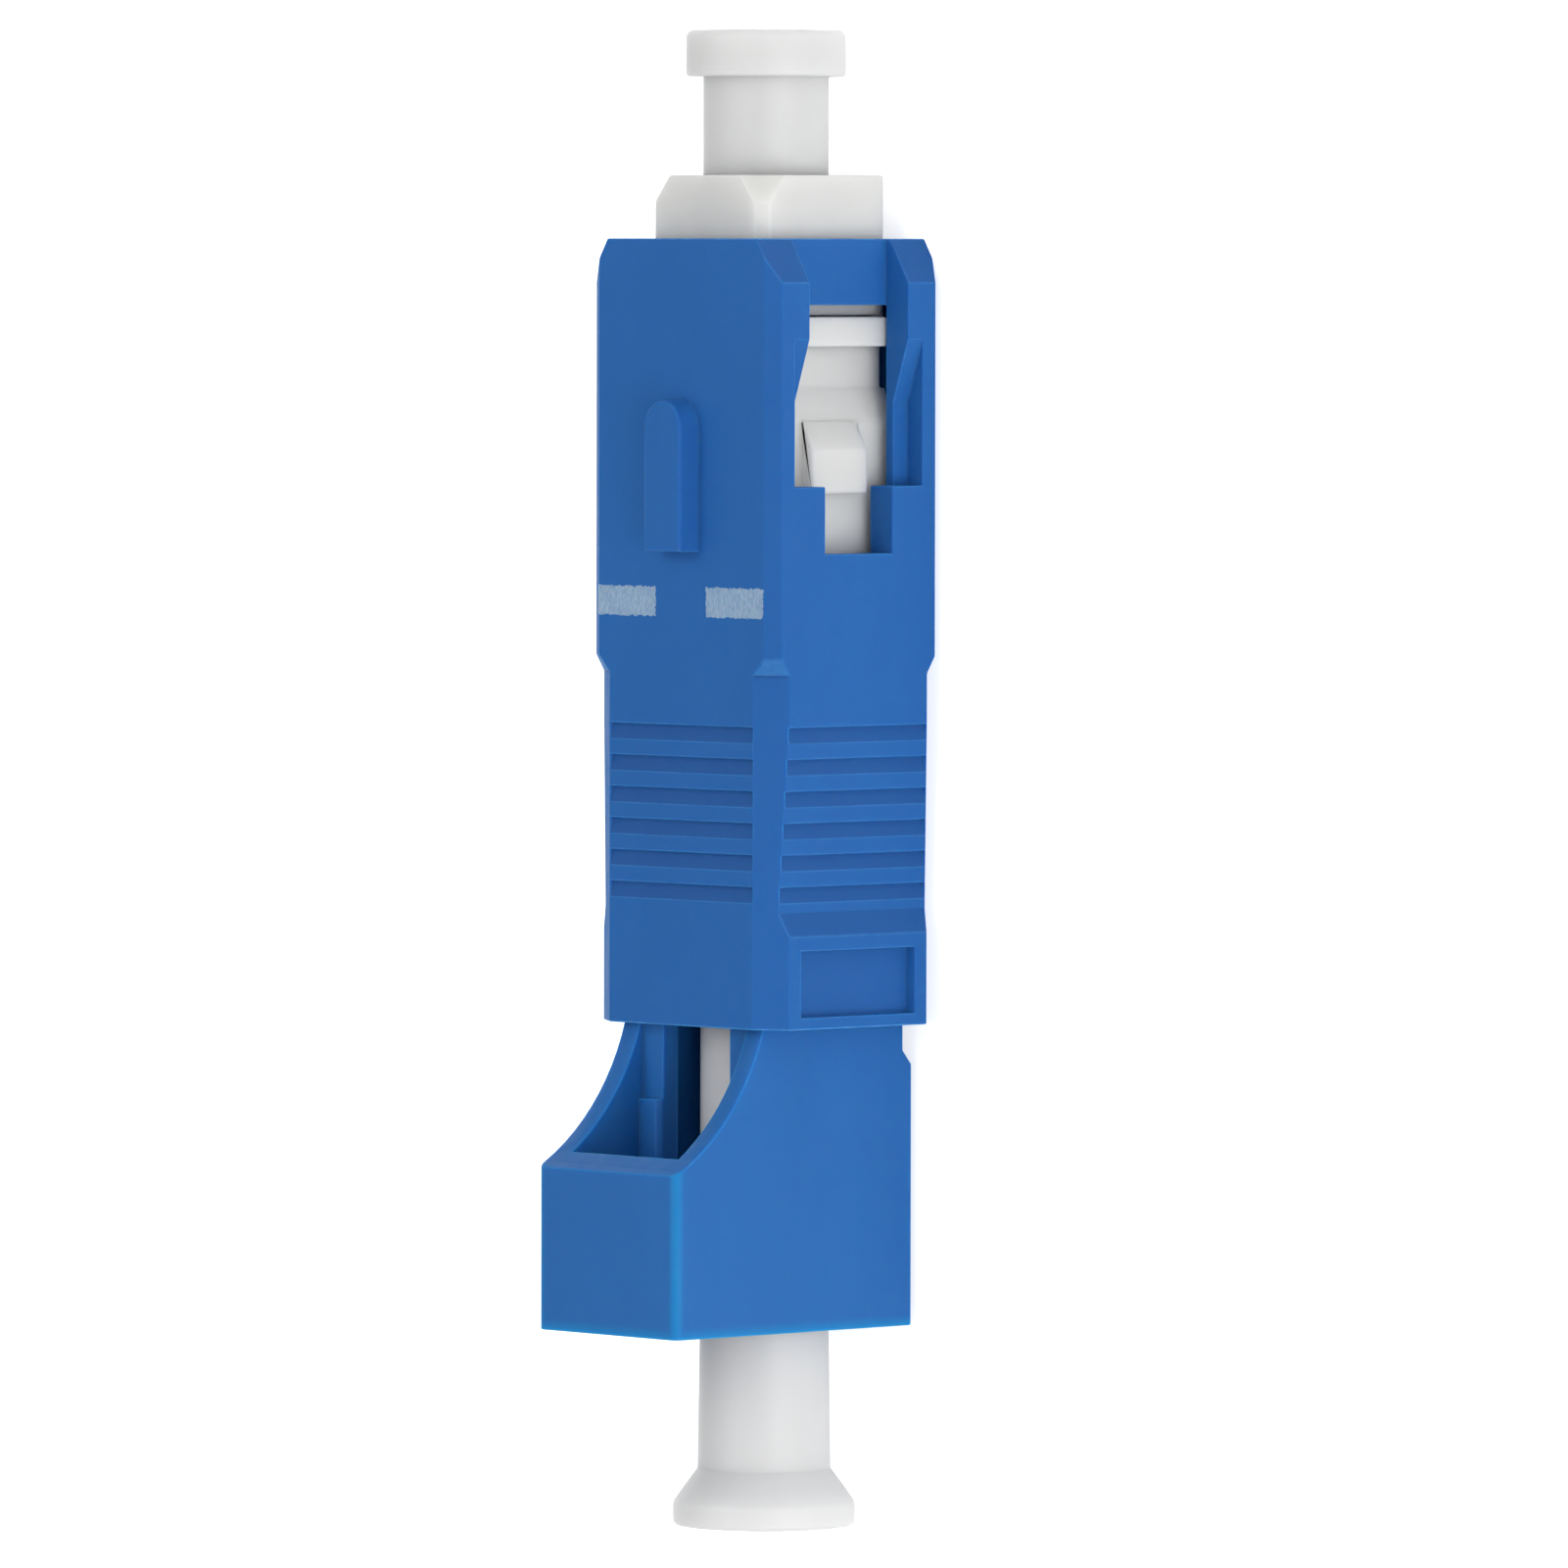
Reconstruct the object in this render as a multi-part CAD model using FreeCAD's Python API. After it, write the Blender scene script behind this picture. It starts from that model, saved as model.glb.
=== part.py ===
import FreeCAD, Part
import math
import os

# Hybrid fibre adapter: an SC plug on one end, an LC socket on the other, both capped.
#
# Every piece is first made about the optical axis: X runs along it towards the SC tip with
# x = 0 at the front face of the outer housing, Y runs across to the window faces, and Z runs
# up to the face with the key. The finished pieces are then placed so that the housing lies on
# z = 0 with the adapter centred on the origin. All sizes are in millimetres.

Vec = FreeCAD.Vector

# Outer housing, the sleeve that is gripped to pull the plug out
housing_width = 9.0          # over the two window faces
housing_height = 7.4         # from the key face to the face that it lies on
housing_length = 25.5
housing_side_wall = 1.08     # wall behind the window faces
housing_key_wall = 0.6       # wall behind the key face
bridge_length = 2.15         # short band that closes the front of each window
rail_gap = 4.32              # between the two rails of a window face
rail_end_drop = 0.9          # slope on the front end of the rails, across
rail_end_run = 1.42          # and along
front_corner_cut = 0.52      # flat cut on the long corners, measured on the key face
rear_corner_cut = 1.05       # the same behind the waist, where the fingers grip
corner_cut_slope = 0.65      # fall of those cuts on the window face for each mm of their width
waist_from_rear = 11.4       # where the wider corner cut begins
waist_run = 0.55             # slanted stop between the two corner cuts

# Window, wedges and notch
window_end = 8.0             # rear edge of the wide window, from the front
wedge_start = 3.23           # the wedges that lift the adapter's hooks begin here
wedge_run = 2.11
wedge_ledge_drop = 0.73      # ledge behind the wedges, below the window face
pocket_width = 5.6           # over the two wedge pockets
notch_width = 2.94
notch_end = 10.18            # rear edge of the narrow notch

# Key
key_width = 1.74
key_height = 0.86
key_length = 4.9
key_start = 5.22             # from the front of the housing to the round end
key_edge_round = 0.12

# Grip ribs and the plain panel behind them
groove_count = 6
groove_pitch = 1.03
groove_run = 0.55
groove_depth = 0.18
last_groove_from_rear = 4.06
grip_taper = 0.3             # the window faces close in by this much over the ribs
grip_taper_run = 6.15
grip_flare_run = 1.09
panel_from_rear = 2.68       # where the flare ends
recess_width = 5.0
recess_length = 2.15
recess_depth = 0.4
recess_margin = 0.39         # from the recess to the rear edge
rear_lead_depth = 0.3        # lead-in inside the rear mouth
rear_lead_run = 1.0

# Ferrules, fibre and the flange that joins them
sc_ferrule_diameter = 2.5
sc_ferrule_length = 10.5
sc_ferrule_stand = 1.63      # tip of the ferrule beyond the nose of the plug frame
lc_ferrule_diameter = 1.25
lc_ferrule_length = 6.46
ferrule_chamfer = 0.35       # on the polished ends
fibre_diameter = 0.125
fibre_clearance = 0.001
ferrule_funnel = 0.7         # depth and width of the funnel that the fibre is threaded through
bond_gap = 0.01              # ferrule in the flange, on the radius
collar_length = 2.5
collar_floor = 0.1           # least metal behind the ferrule in the collar
collar_across_flats = 3.5
flange_stem_diameter = 2.4
fibre_channel_diameter = 1.0
float_travel = 0.9           # how far the ferrules can be pushed back
float_spare = 0.36           # room left behind the flange at full travel

# Plug frame
nose_stand = 2.05            # nose of the frame beyond the housing
nose_width = 5.5
nose_height = 5.36
nose_clearance = 0.1         # nose in the opening of the housing
nose_corner_cut = 0.36       # flat cut on the two upper corners
nose_tip_cut = 1.05          # the same cut at the very front
nose_tip_run = 0.85          # how far back the wider cut reaches
nose_bore_diameter = 4.3
shoulder_depth = 5.87        # from the nose to the inner shoulder
shoulder_thickness = 0.6
shoulder_gap = 0.2           # ferrule in the shoulder's hole, on the radius
frame_cavity_diameter = 4.2
ear_start = 2.54             # latch ears, from the front of the housing
ear_length = 0.95
ear_gap = 0.07               # ear to the inner wall of the housing
ear_width = 4.6
hook_pocket_length = 1.34    # where the adapter's hooks drop in
hook_pocket_width = 5.2
hook_slope_run = 1.12
frame_side_gap = 0.37        # frame to housing, window faces
frame_key_gap = 0.2          # frame to housing, key face and the face opposite
tab_width = 2.4              # stop tab that travels in the notch
tab_catch = 0.18             # how far it reaches into the wall
tab_end = 8.23
tab_length = 1.39
tab_ramp_run = 0.94
frame_length = 18.9

# Spring and stop ring
spring_length = 6.0
spring_wire = 0.4
spring_wire_sides = 8        # the round wire is drawn with this many flats
spring_turns = 4.5
spring_gap = 0.12            # spring to the stem, on the radius
stop_head_length = 0.8
stop_seat_diameter = 5.1     # bore at the rear of the frame
stop_fit = 0.05
stop_guide_gap = 0.08        # stem in the stop ring, on the radius
stop_tube_length = 2.6

# Socket body
slide_clearance = 0.06       # socket body inside the housing, each side
socket_stand = 9.88          # from the rear of the housing to the mouth of the socket
socket_height_below = 3.42   # from the axis to the face below
socket_height_above = 6.9    # from the axis to the top of the latch chamber
socket_step_start = 0.89     # step in the lower face, behind the housing
socket_step_run = 0.46
socket_edge_round = 0.3      # on the two upper corners
latch_cut_radius = 7.7       # curved cut that opens the latch chamber
latch_cut_ahead = 12.1       # its centre, ahead of the mouth
latch_cut_dip = 0.08         # how far the curve would dip below the neck
neck_top = 2.88              # height of the body's top inside the housing
port_width = 4.66            # square cavity for the plug
port_depth = 11.56
port_floor = 2.0
port_lead = 0.3              # lead-in round the mouth, across
port_lead_run = 0.6          # and along
chamber_width = 5.14
chamber_height = 6.08        # from the axis to its roof
shoulder_from_mouth = 7.4    # latch shoulders
shoulder_height = 3.2        # from the axis to their top
shoulder_drop = 0.2          # from there to the floor that the latch snaps down on
latch_slot_width = 3.2
shoulder_lead = 0.15
snout_bore_diameter = 3.9
waist_tube_wall = 0.75
plate_length = 1.2
block_front_wall = 0.2
barb_width = 2.2
barb_height = 0.26
barb_length = 1.1
barb_from_plate = 1.6
barb_room = 0.1
barb_spare = 0.2             # least snout between the barbs and the stop ring

# Split sleeve and what holds it
optical_plane = 12.6         # from the mouth of the socket to where the two ferrules meet
split_sleeve_length = 6.6
split_sleeve_wall = 0.17
split_sleeve_fit = 0.01      # sleeve on the ferrule, on the radius
split_sleeve_slot = 0.35
sleeve_float = 0.065         # sleeve in its pocket, on the radius
sleeve_end_gap = 0.1
sleeve_lip_length = 0.25
sleeve_lip_gap = 0.06        # ferrule in the lip, on the radius
boss_diameter = 2.9
boss_chamfer = 0.2
holder_diameter = 2.7
holder_fit = 0.02
holder_flange_length = 1.2
holder_flange_fit = 0.05

# Dust cap on the SC end
sc_cap_top = 4.71            # from the nose of the frame to the top of the cap
sc_cap_flange_length = 1.5
sc_cap_flange_diameter = 5.2
sc_cap_barrel_diameter = 4.08
sc_cap_inserted = 3.27       # barrel inside the nose
sc_cap_fit = 0.02            # ferrule in the cap, on the radius
sc_cap_tip_room = 0.4
sc_cap_top_round = 0.23
sc_cap_under_round = 0.12

# Dust cap on the LC end
lc_cap_stand = 6.52          # from the mouth of the socket to the end of the cap
lc_cap_diameter = 5.94
lc_cap_collar_length = 1.85
lc_cap_cone_run = 0.72
lc_cap_cone_diameter = 5.44
lc_cap_cone_round = 0.55
lc_cap_barrel_diameter = 4.35
lc_cap_inner_diameter = 4.2  # barrel inside the port
lc_cap_tip_gap = 1.0         # barrel tip to the floor of the port
lc_cap_fit = 0.03            # boss in the cap, on the radius
lc_cap_bore_room = 9.0       # bore beyond the tip of the boss
lc_cap_end_round = 0.15
round_steps = 2              # short cones that draw a rounded rim

# Places along the axis, all worked out from the sizes above
housing_rear = -housing_length
nose_front = nose_stand
shoulder_front = nose_front - shoulder_depth
shoulder_rear = shoulder_front - shoulder_thickness
sc_tip = nose_front + sc_ferrule_stand
sc_ferrule_rear = sc_tip - sc_ferrule_length
collar_rear = min(shoulder_rear - collar_length, sc_ferrule_rear - collar_floor)
spring_rear = collar_rear - spring_length
stop_head_rear = spring_rear - stop_head_length
snout_least = barb_from_plate + barb_length + barb_spare
frame_rear = min(nose_front - frame_length, stop_head_rear - snout_least)
mouth = housing_rear - socket_stand
port_end = mouth + port_depth
floor_front = port_end + port_floor
block_front = floor_front + block_front_wall
lc_tip = mouth + optical_plane
lc_ferrule_rear = lc_tip + lc_ferrule_length
sleeve_front = lc_tip + split_sleeve_length / 2
sleeve_rear = lc_tip - split_sleeve_length / 2
holder_front = sleeve_front + sleeve_end_gap + sleeve_lip_length
boss_rear = sleeve_rear - sleeve_end_gap - sleeve_lip_length
stem_rear = holder_front + float_travel + float_spare
sc_cap_end = nose_front + sc_cap_top
lc_cap_end = mouth - lc_cap_stand

# Half widths and radii that several pieces share
cavity_y = housing_width / 2 - housing_side_wall
cavity_z = housing_height / 2 - housing_key_wall
frame_y = cavity_y - frame_side_gap
frame_z = cavity_z - frame_key_gap
ear_y = cavity_y - ear_gap
tab_y = cavity_y + tab_catch
socket_y = cavity_y - slide_clearance
neck_z = cavity_z - slide_clearance
sleeve_inner = lc_ferrule_diameter / 2 + split_sleeve_fit
sleeve_outer = sleeve_inner + split_sleeve_wall
sleeve_pocket = sleeve_outer + sleeve_float
lip_radius = lc_ferrule_diameter / 2 + sleeve_lip_gap
stem_radius = flange_stem_diameter / 2
snout_radius = stop_seat_diameter / 2 - stop_fit
over = 1.0                   # how far a cutter reaches past what it cuts


# Simple shapes

def box(x0, x1, y0, y1, z0, z1):
    return Part.makeBox(x1 - x0, y1 - y0, z1 - z0, Vec(x0, y0, z0))


def bar(x0, x1, half_y, half_z):
    return box(x0, x1, -half_y, half_y, -half_z, half_z)


def rod(x0, x1, radius):
    return Part.makeCylinder(radius, x1 - x0, Vec(x0, 0, 0), Vec(1, 0, 0))


def ring(x0, x1, outer, inner):
    return rod(x0, x1, outer).cut(rod(x0 - over, x1 + over, inner))


def face_of(points):
    return Part.Face(Part.makePolygon(points + points[:1]))


def plan_prism(points, z0, z1):
    """Outline given as (x, y), raised from z0 to z1."""
    return face_of([Vec(x, y, z0) for x, y in points]).extrude(Vec(0, 0, z1 - z0))


def side_prism(points, y0, y1):
    """Outline given as (x, z), drawn across from y0 to y1."""
    return face_of([Vec(x, y0, z) for x, z in points]).extrude(Vec(0, y1 - y0, 0))


def turned(points):
    """Outline given as (x, radius), turned about the optical axis."""
    return face_of([Vec(x, 0, r) for x, r in points]).revolve(Vec(0, 0, 0), Vec(1, 0, 0), 360)


def rounded(start, end, corner):
    """Points (x, radius) on a quarter ellipse from start to end that bulges towards the corner."""
    points = []
    for i in range(round_steps + 1):
        a = math.pi / 2 * i / round_steps
        along, back = math.sin(a), math.cos(a)
        points.append(tuple(s + e - c + (c - e) * along + (c - s) * back
                            for s, e, c in zip(start, end, corner)))
    return points


def both_sides(shape):
    """The shape and its mirror image on the other window face."""
    return shape.fuse(shape.mirror(Vec(0, 0, 0), Vec(0, 1, 0)))


def above_and_below(shape):
    return shape.fuse(shape.mirror(Vec(0, 0, 0), Vec(0, 0, 1)))


def long_edges(shape, y, z):
    """Edges along X that lie at these distances from the two middle planes."""
    found = []
    for edge in shape.Edges:
        a, b = edge.Vertexes[0].Point, edge.Vertexes[-1].Point
        level = abs(a.y - b.y) < 1e-6 and abs(a.z - b.z) < 1e-6
        if level and abs(abs(a.y) - y) < 1e-6 and abs(a.z - z) < 1e-6:
            found.append(edge)
    return found


# Outer housing

def cut_corner_section(x, cut):
    """Cross-section of the housing at x, with its four corners cut flat."""
    y, z, fall = housing_width / 2, housing_height / 2, cut * corner_cut_slope
    quarter = [(y, z - fall), (y - cut, z)]
    points = quarter
    points = points + [(-a, b) for a, b in reversed(quarter)]
    points = points + [(a, -b) for a, b in reversed(points)]
    return Part.makePolygon([Vec(x, a, b) for a, b in points + points[:1]])


def housing_block():
    waist = housing_rear + waist_from_rear
    front = Part.Face(cut_corner_section(waist + waist_run, front_corner_cut))
    front = front.extrude(Vec(-(waist + waist_run), 0, 0))
    rear = Part.Face(cut_corner_section(housing_rear, rear_corner_cut))
    rear = rear.extrude(Vec(waist_from_rear, 0, 0))
    between = Part.makeLoft([cut_corner_section(waist, rear_corner_cut),
                             cut_corner_section(waist + waist_run, front_corner_cut)], True, True)
    return front.fuse([between, rear]).removeSplitter()


def housing_key():
    """The raised key, round at the end that enters the adapter first."""
    half, top = key_width / 2, housing_height / 2 + key_height
    base = housing_height / 2 - housing_key_wall / 2
    round_x = -key_start - half
    key = box(-key_start - key_length, round_x, -half, half, base, top)
    key = key.fuse(Part.makeCylinder(half, top - base, Vec(round_x, 0, base)))
    key = key.removeSplitter()
    rim = [e for e in key.Edges if all(abs(v.Z - top) < 1e-6 for v in e.Vertexes)]
    return key.makeFillet(key_edge_round, rim)


def rail_end_slope():
    """Slope on the front ends of the rails of one window face."""
    y = housing_width / 2
    points = [(0, y - rail_end_drop), (-rail_end_run, y), (-rail_end_run, y + over),
              (over, y + over), (over, y - rail_end_drop)]
    return plan_prism(points, -housing_height, housing_height)


def window_cut():
    """Channel, window, wedge pockets and notch of one window face."""
    y_in, y_out = cavity_y - over, housing_width / 2 + over
    gap = rail_gap / 2
    channel = box(-bridge_length - over, over, cavity_y, y_out, -gap, gap)
    window = box(-window_end, -bridge_length, y_in, y_out, -gap, gap)
    notch = box(-notch_end, -window_end + over, y_in, y_out, -notch_width / 2, notch_width / 2)
    ledge = housing_width / 2 - wedge_ledge_drop
    wedge_end = -wedge_start - wedge_run
    wedge = plan_prism([(-wedge_start, housing_width / 2), (wedge_end, ledge), (-window_end, ledge),
                        (-window_end, y_out), (-wedge_start, y_out)],
                       -pocket_width / 2, pocket_width / 2)
    return channel.fuse([window, notch, wedge])


def groove_starts():
    last = housing_rear + last_groove_from_rear + groove_run
    return [last + groove_pitch * i for i in range(groove_count)]


def grip_face():
    """What the taper and the grooves take off one window face."""
    y, out = housing_width / 2, housing_width / 2 + over
    flare_end = housing_rear + panel_from_rear
    flare_start = flare_end + grip_flare_run
    taper_start = flare_start + grip_taper_run
    points = [(taper_start, y), (flare_start, y - grip_taper), (flare_end, y),
              (flare_end, out), (taper_start, out)]
    taken = plan_prism(points, -housing_height, housing_height)
    for x in groove_starts():
        depth_here = grip_taper * (taper_start - x) / grip_taper_run
        depth_after = grip_taper * (taper_start - x + groove_run) / grip_taper_run
        points = [(x, y - depth_here - groove_depth), (x - groove_run, y - depth_after),
                  (x - groove_run, out), (x, out)]
        taken = taken.fuse(plan_prism(points, -housing_height, housing_height))
    return taken


def key_face_grooves():
    z, out = housing_height / 2, housing_height / 2 + over
    grooves = []
    for x in groove_starts():
        points = [(x, z - groove_depth), (x - groove_run, z), (x - groove_run, out), (x, out)]
        grooves.append(side_prism(points, -housing_width, housing_width))
    return grooves[0].fuse(grooves[1:])


def panel_recess():
    x = housing_rear + recess_margin
    y = housing_width / 2
    return box(x, x + recess_length, y - recess_depth, y + over, -recess_width / 2, recess_width / 2)


def housing_cavity():
    cavity = bar(housing_rear - over, -bridge_length, cavity_y, cavity_z)
    opening = bar(-bridge_length - over, over, nose_width / 2 + nose_clearance,
                  nose_height / 2 + nose_clearance)
    lead = side_prism([(housing_rear, 0), (housing_rear, cavity_z + rear_lead_depth),
                       (housing_rear + rear_lead_run, cavity_z), (housing_rear + rear_lead_run, 0)],
                      -cavity_y, cavity_y)
    return cavity.fuse([opening, above_and_below(lead)])


def sc_outer_housing():
    cuts = [both_sides(rail_end_slope()), both_sides(grip_face()), both_sides(panel_recess()),
            both_sides(window_cut()), above_and_below(key_face_grooves())]
    return housing_block().fuse(housing_key()).cut(cuts).cut(housing_cavity()).removeSplitter()


# Plug frame

def nose_tip_slope():
    """Where the cut on one upper corner of the nose widens towards the front."""
    y, z = nose_width / 2, nose_height / 2
    sections = []
    for x, cut in [(nose_front - nose_tip_run, nose_corner_cut), (nose_front, nose_tip_cut)]:
        corner = [(y + over, z - cut - over), (y + over, z + over), (y - cut - over, z + over)]
        sections.append(Part.makePolygon([Vec(x, a, b) for a, b in corner + corner[:1]]))
    return Part.makeLoft(sections, True, True)


def frame_nose():
    """Square nose with its upper corners cut, so that it only enters one way up."""
    y, z = nose_width / 2, nose_height / 2
    block = bar(-ear_start - ear_length, nose_front, y, z)
    block = block.makeChamfer(nose_corner_cut, long_edges(block, y, z))
    return block.cut(both_sides(nose_tip_slope()))


def frame_outline():
    """Half of the frame seen from above, behind the ears: hook pocket, slope and side."""
    ear_rear = -ear_start - ear_length
    slope_start = ear_rear - hook_pocket_length
    slope_end = slope_start - hook_slope_run
    pocket = hook_pocket_width / 2
    return [(ear_rear, pocket), (slope_start, pocket), (slope_end, frame_y), (frame_rear, frame_y)]


def stop_tab():
    """Tab that travels in the notch of the housing, sloped on its front."""
    front = -tab_end + tab_length
    points = [(front + tab_ramp_run, frame_y), (front, tab_y), (-tab_end, tab_y),
              (-tab_end, frame_y - over / 2), (front + tab_ramp_run, frame_y - over / 2)]
    return plan_prism(points, -tab_width / 2, tab_width / 2)


def barb_window():
    """Slots near the rear of the frame that the barbs of the socket body snap into."""
    x = frame_rear + barb_from_plate
    half = barb_width / 2 + barb_room
    return box(x - barb_room, x + barb_length + barb_room, -half, half, 0, frame_z + over)


def sc_plug_frame():
    half = frame_outline()
    outline = half + [(x, -y) for x, y in reversed(half)]
    slope_start = outline[1][0]
    low = plan_prism(outline, -nose_height / 2, nose_height / 2)
    high = low.fuse(plan_prism(outline, -frame_z, frame_z).common(
        bar(frame_rear, slope_start, housing_width, housing_height)))
    ears = bar(-ear_start - ear_length, -ear_start, ear_y, ear_width / 2)
    solid = frame_nose().fuse([high, ears, both_sides(stop_tab())]).removeSplitter()
    bores = rod(shoulder_front, nose_front + over, nose_bore_diameter / 2).fuse([
        rod(shoulder_rear - over, shoulder_front + over, sc_ferrule_diameter / 2 + shoulder_gap),
        rod(spring_rear - over, shoulder_rear, frame_cavity_diameter / 2),
        rod(frame_rear - over, spring_rear, stop_seat_diameter / 2)])
    return solid.cut([bores, above_and_below(barb_window())]).removeSplitter()


# Ferrule assembly

def ferrule(tip, rear, diameter, towards):
    """Zirconia ferrule with a chamfered tip and a funnel at the back; towards is 1 or -1."""
    r, hole = diameter / 2, (fibre_diameter + fibre_clearance) / 2
    chamfer = min(ferrule_chamfer, r / 2)
    funnel = min(ferrule_funnel, r) / 2
    return turned([(tip, hole), (tip, r - chamfer), (tip - towards * chamfer, r), (rear, r),
                   (rear, funnel), (rear + towards * 2 * funnel, hole)])


def sc_ferrule():
    return ferrule(sc_tip, sc_ferrule_rear, sc_ferrule_diameter, 1)


def lc_ferrule():
    return ferrule(lc_tip, lc_ferrule_rear, lc_ferrule_diameter, -1)


def fibre_stub():
    return rod(lc_tip, sc_tip, fibre_diameter / 2)


def ferrule_flange():
    """Metal flange: a six-sided collar that the spring pushes, and a stem to the LC ferrule."""
    corner = collar_across_flats / 2 / math.cos(math.pi / 6)
    hexagon = [Vec(collar_rear, corner * math.cos(i * math.pi / 3), corner * math.sin(i * math.pi / 3))
               for i in range(6)]
    collar = face_of(hexagon).extrude(Vec(shoulder_rear - collar_rear, 0, 0))
    stem = rod(stem_rear, collar_rear, stem_radius)
    holes = rod(sc_ferrule_rear, shoulder_rear + over, sc_ferrule_diameter / 2 + bond_gap).fuse([
        rod(lc_ferrule_rear - over, sc_ferrule_rear + over, fibre_channel_diameter / 2),
        rod(stem_rear - over, lc_ferrule_rear, lc_ferrule_diameter / 2 + bond_gap)])
    return collar.fuse(stem).removeSplitter().cut(holes)


def ferrule_spring():
    """Round wire spring with its two ends ground flat."""
    radius = stem_radius + spring_gap + spring_wire / 2
    turns_length = spring_length - spring_wire / 2
    pitch = turns_length / spring_turns
    path = Part.makeHelix(pitch, turns_length, radius)
    flats = [Vec(radius + spring_wire / 2 * math.cos(2 * math.pi * i / spring_wire_sides), 0,
                 spring_wire / 2 * math.sin(2 * math.pi * i / spring_wire_sides))
             for i in range(spring_wire_sides + 1)]
    coil = Part.Wire(path).makePipeShell([Part.makePolygon(flats)], True, True)
    coil.rotate(Vec(0, 0, 0), Vec(0, 1, 0), 90)
    coil.translate(Vec(spring_rear + spring_wire / 4, 0, 0))
    return coil.common(rod(spring_rear, collar_rear, frame_cavity_diameter / 2))


def stop_ring():
    """Turned ring that backs the spring and guides the stem."""
    bore = stem_radius + stop_guide_gap
    head = ring(stop_head_rear, spring_rear, snout_radius, bore)
    tube = ring(stop_head_rear - stop_tube_length, stop_head_rear,
                snout_bore_diameter / 2 - stop_fit, bore)
    return head.fuse(tube).removeSplitter()


# Socket body

def socket_side_outline():
    """Outside of the port seen from the side, with the curved cut over the latch chamber."""
    r, top = latch_cut_radius, socket_height_above
    centre_x, centre_z = mouth + latch_cut_ahead, neck_top + r - latch_cut_dip
    low = Vec(centre_x - math.sqrt(r ** 2 - (centre_z - neck_top) ** 2), 0, neck_top)
    high = Vec(centre_x - math.sqrt(r ** 2 - (centre_z - top) ** 2), 0, top)
    angle = math.atan2(high.z + low.z - 2 * centre_z, high.x + low.x - 2 * centre_x)
    middle = Vec(centre_x + r * math.cos(angle), 0, centre_z + r * math.sin(angle))
    step = housing_rear - socket_step_start
    corners = [high, Vec(mouth, 0, top), Vec(mouth, 0, -socket_height_below),
               Vec(step - socket_step_run, 0, -socket_height_below), Vec(step, 0, -neck_z),
               Vec(block_front, 0, -neck_z), Vec(block_front, 0, neck_top), low]
    edges = [Part.Arc(low, middle, high).toShape()]
    edges = edges + [Part.makeLine(a, b) for a, b in zip(corners, corners[1:])]
    return Part.Face(Part.Wire(edges))


def port_block():
    outline = socket_side_outline()
    outline.translate(Vec(0, -socket_y, 0))
    block = outline.extrude(Vec(0, 2 * socket_y, 0))
    return block.makeFillet(socket_edge_round, long_edges(block, socket_y, socket_height_above))


def port_lead_in():
    """Sloped opening that guides the plug into the port."""
    wide = port_width / 2 + port_lead
    sections = []
    for x, half in [(mouth, wide), (mouth + port_lead_run, port_width / 2)]:
        corners = [(half, half), (-half, half), (-half, -half), (half, -half), (half, half)]
        sections.append(Part.makePolygon([Vec(x, y, z) for y, z in corners]))
    return Part.makeLoft(sections, True, True)


def port_cuts():
    """Square cavity for the plug, latch chamber above it and the two latch shoulders."""
    half = port_width / 2
    shoulder = mouth + shoulder_from_mouth
    cavity = box(mouth - over, port_end, -half, half, -half, half)
    chamber = box(shoulder, port_end, -chamber_width / 2, chamber_width / 2,
                  shoulder_height - shoulder_drop, chamber_height)
    lever_room = box(mouth - over, shoulder, -chamber_width / 2, chamber_width / 2,
                     shoulder_height, chamber_height)
    slot = latch_slot_width / 2
    lead = [(-slot - shoulder_lead, shoulder_height), (-slot, shoulder_height - shoulder_lead),
            (-slot, 0), (slot, 0), (slot, shoulder_height - shoulder_lead),
            (slot + shoulder_lead, shoulder_height)]
    between = face_of([Vec(mouth - over, y, z) for y, z in lead])
    between = between.extrude(Vec(port_end - mouth + over, 0, 0))
    return cavity.fuse([chamber, lever_room, between, port_lead_in()])


def snout():
    """Round front of the socket body, with the plate that the frame seats on."""
    bore = snout_bore_diameter / 2
    plate = bar(frame_rear - plate_length, frame_rear, frame_y, frame_z)
    tube = rod(frame_rear, stop_head_rear, snout_radius)
    waist = rod(block_front, frame_rear - plate_length, bore + waist_tube_wall)
    barb_x = frame_rear + barb_from_plate
    barb = side_prism([(barb_x, 0), (barb_x, snout_radius + barb_height),
                       (barb_x + barb_length, snout_radius - barb_height), (barb_x + barb_length, 0)],
                      -barb_width / 2, barb_width / 2)
    return tube.fuse([plate, waist, above_and_below(barb)])


def sleeve_boss():
    """Barrel inside the port that the LC ferrule enters."""
    r = boss_diameter / 2
    return turned([(port_end + port_floor / 2, 0), (port_end + port_floor / 2, r),
                   (boss_rear + boss_chamfer, r), (boss_rear, r - boss_chamfer), (boss_rear, 0)])


def sleeve_passage():
    """Hole through the floor of the port: holder seat, sleeve pocket and lip."""
    lip = sleeve_rear - sleeve_end_gap
    lead = boss_rear + boss_chamfer / 2
    return rod(port_end, floor_front + over, holder_diameter / 2 + holder_fit).fuse([
        rod(lip, port_end + over, sleeve_pocket),
        rod(boss_rear - over, lip + over, lip_radius),
        turned([(lead, 0), (lead, lip_radius), (boss_rear, lip_radius + boss_chamfer / 2),
                (boss_rear, 0)])])


def lc_socket_body():
    body = port_block().cut(port_cuts()).fuse([snout(), sleeve_boss()]).removeSplitter()
    bore = rod(floor_front, stop_head_rear + over, snout_bore_diameter / 2)
    return body.cut([bore, sleeve_passage()]).removeSplitter()


# Split sleeve and holder

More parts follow.
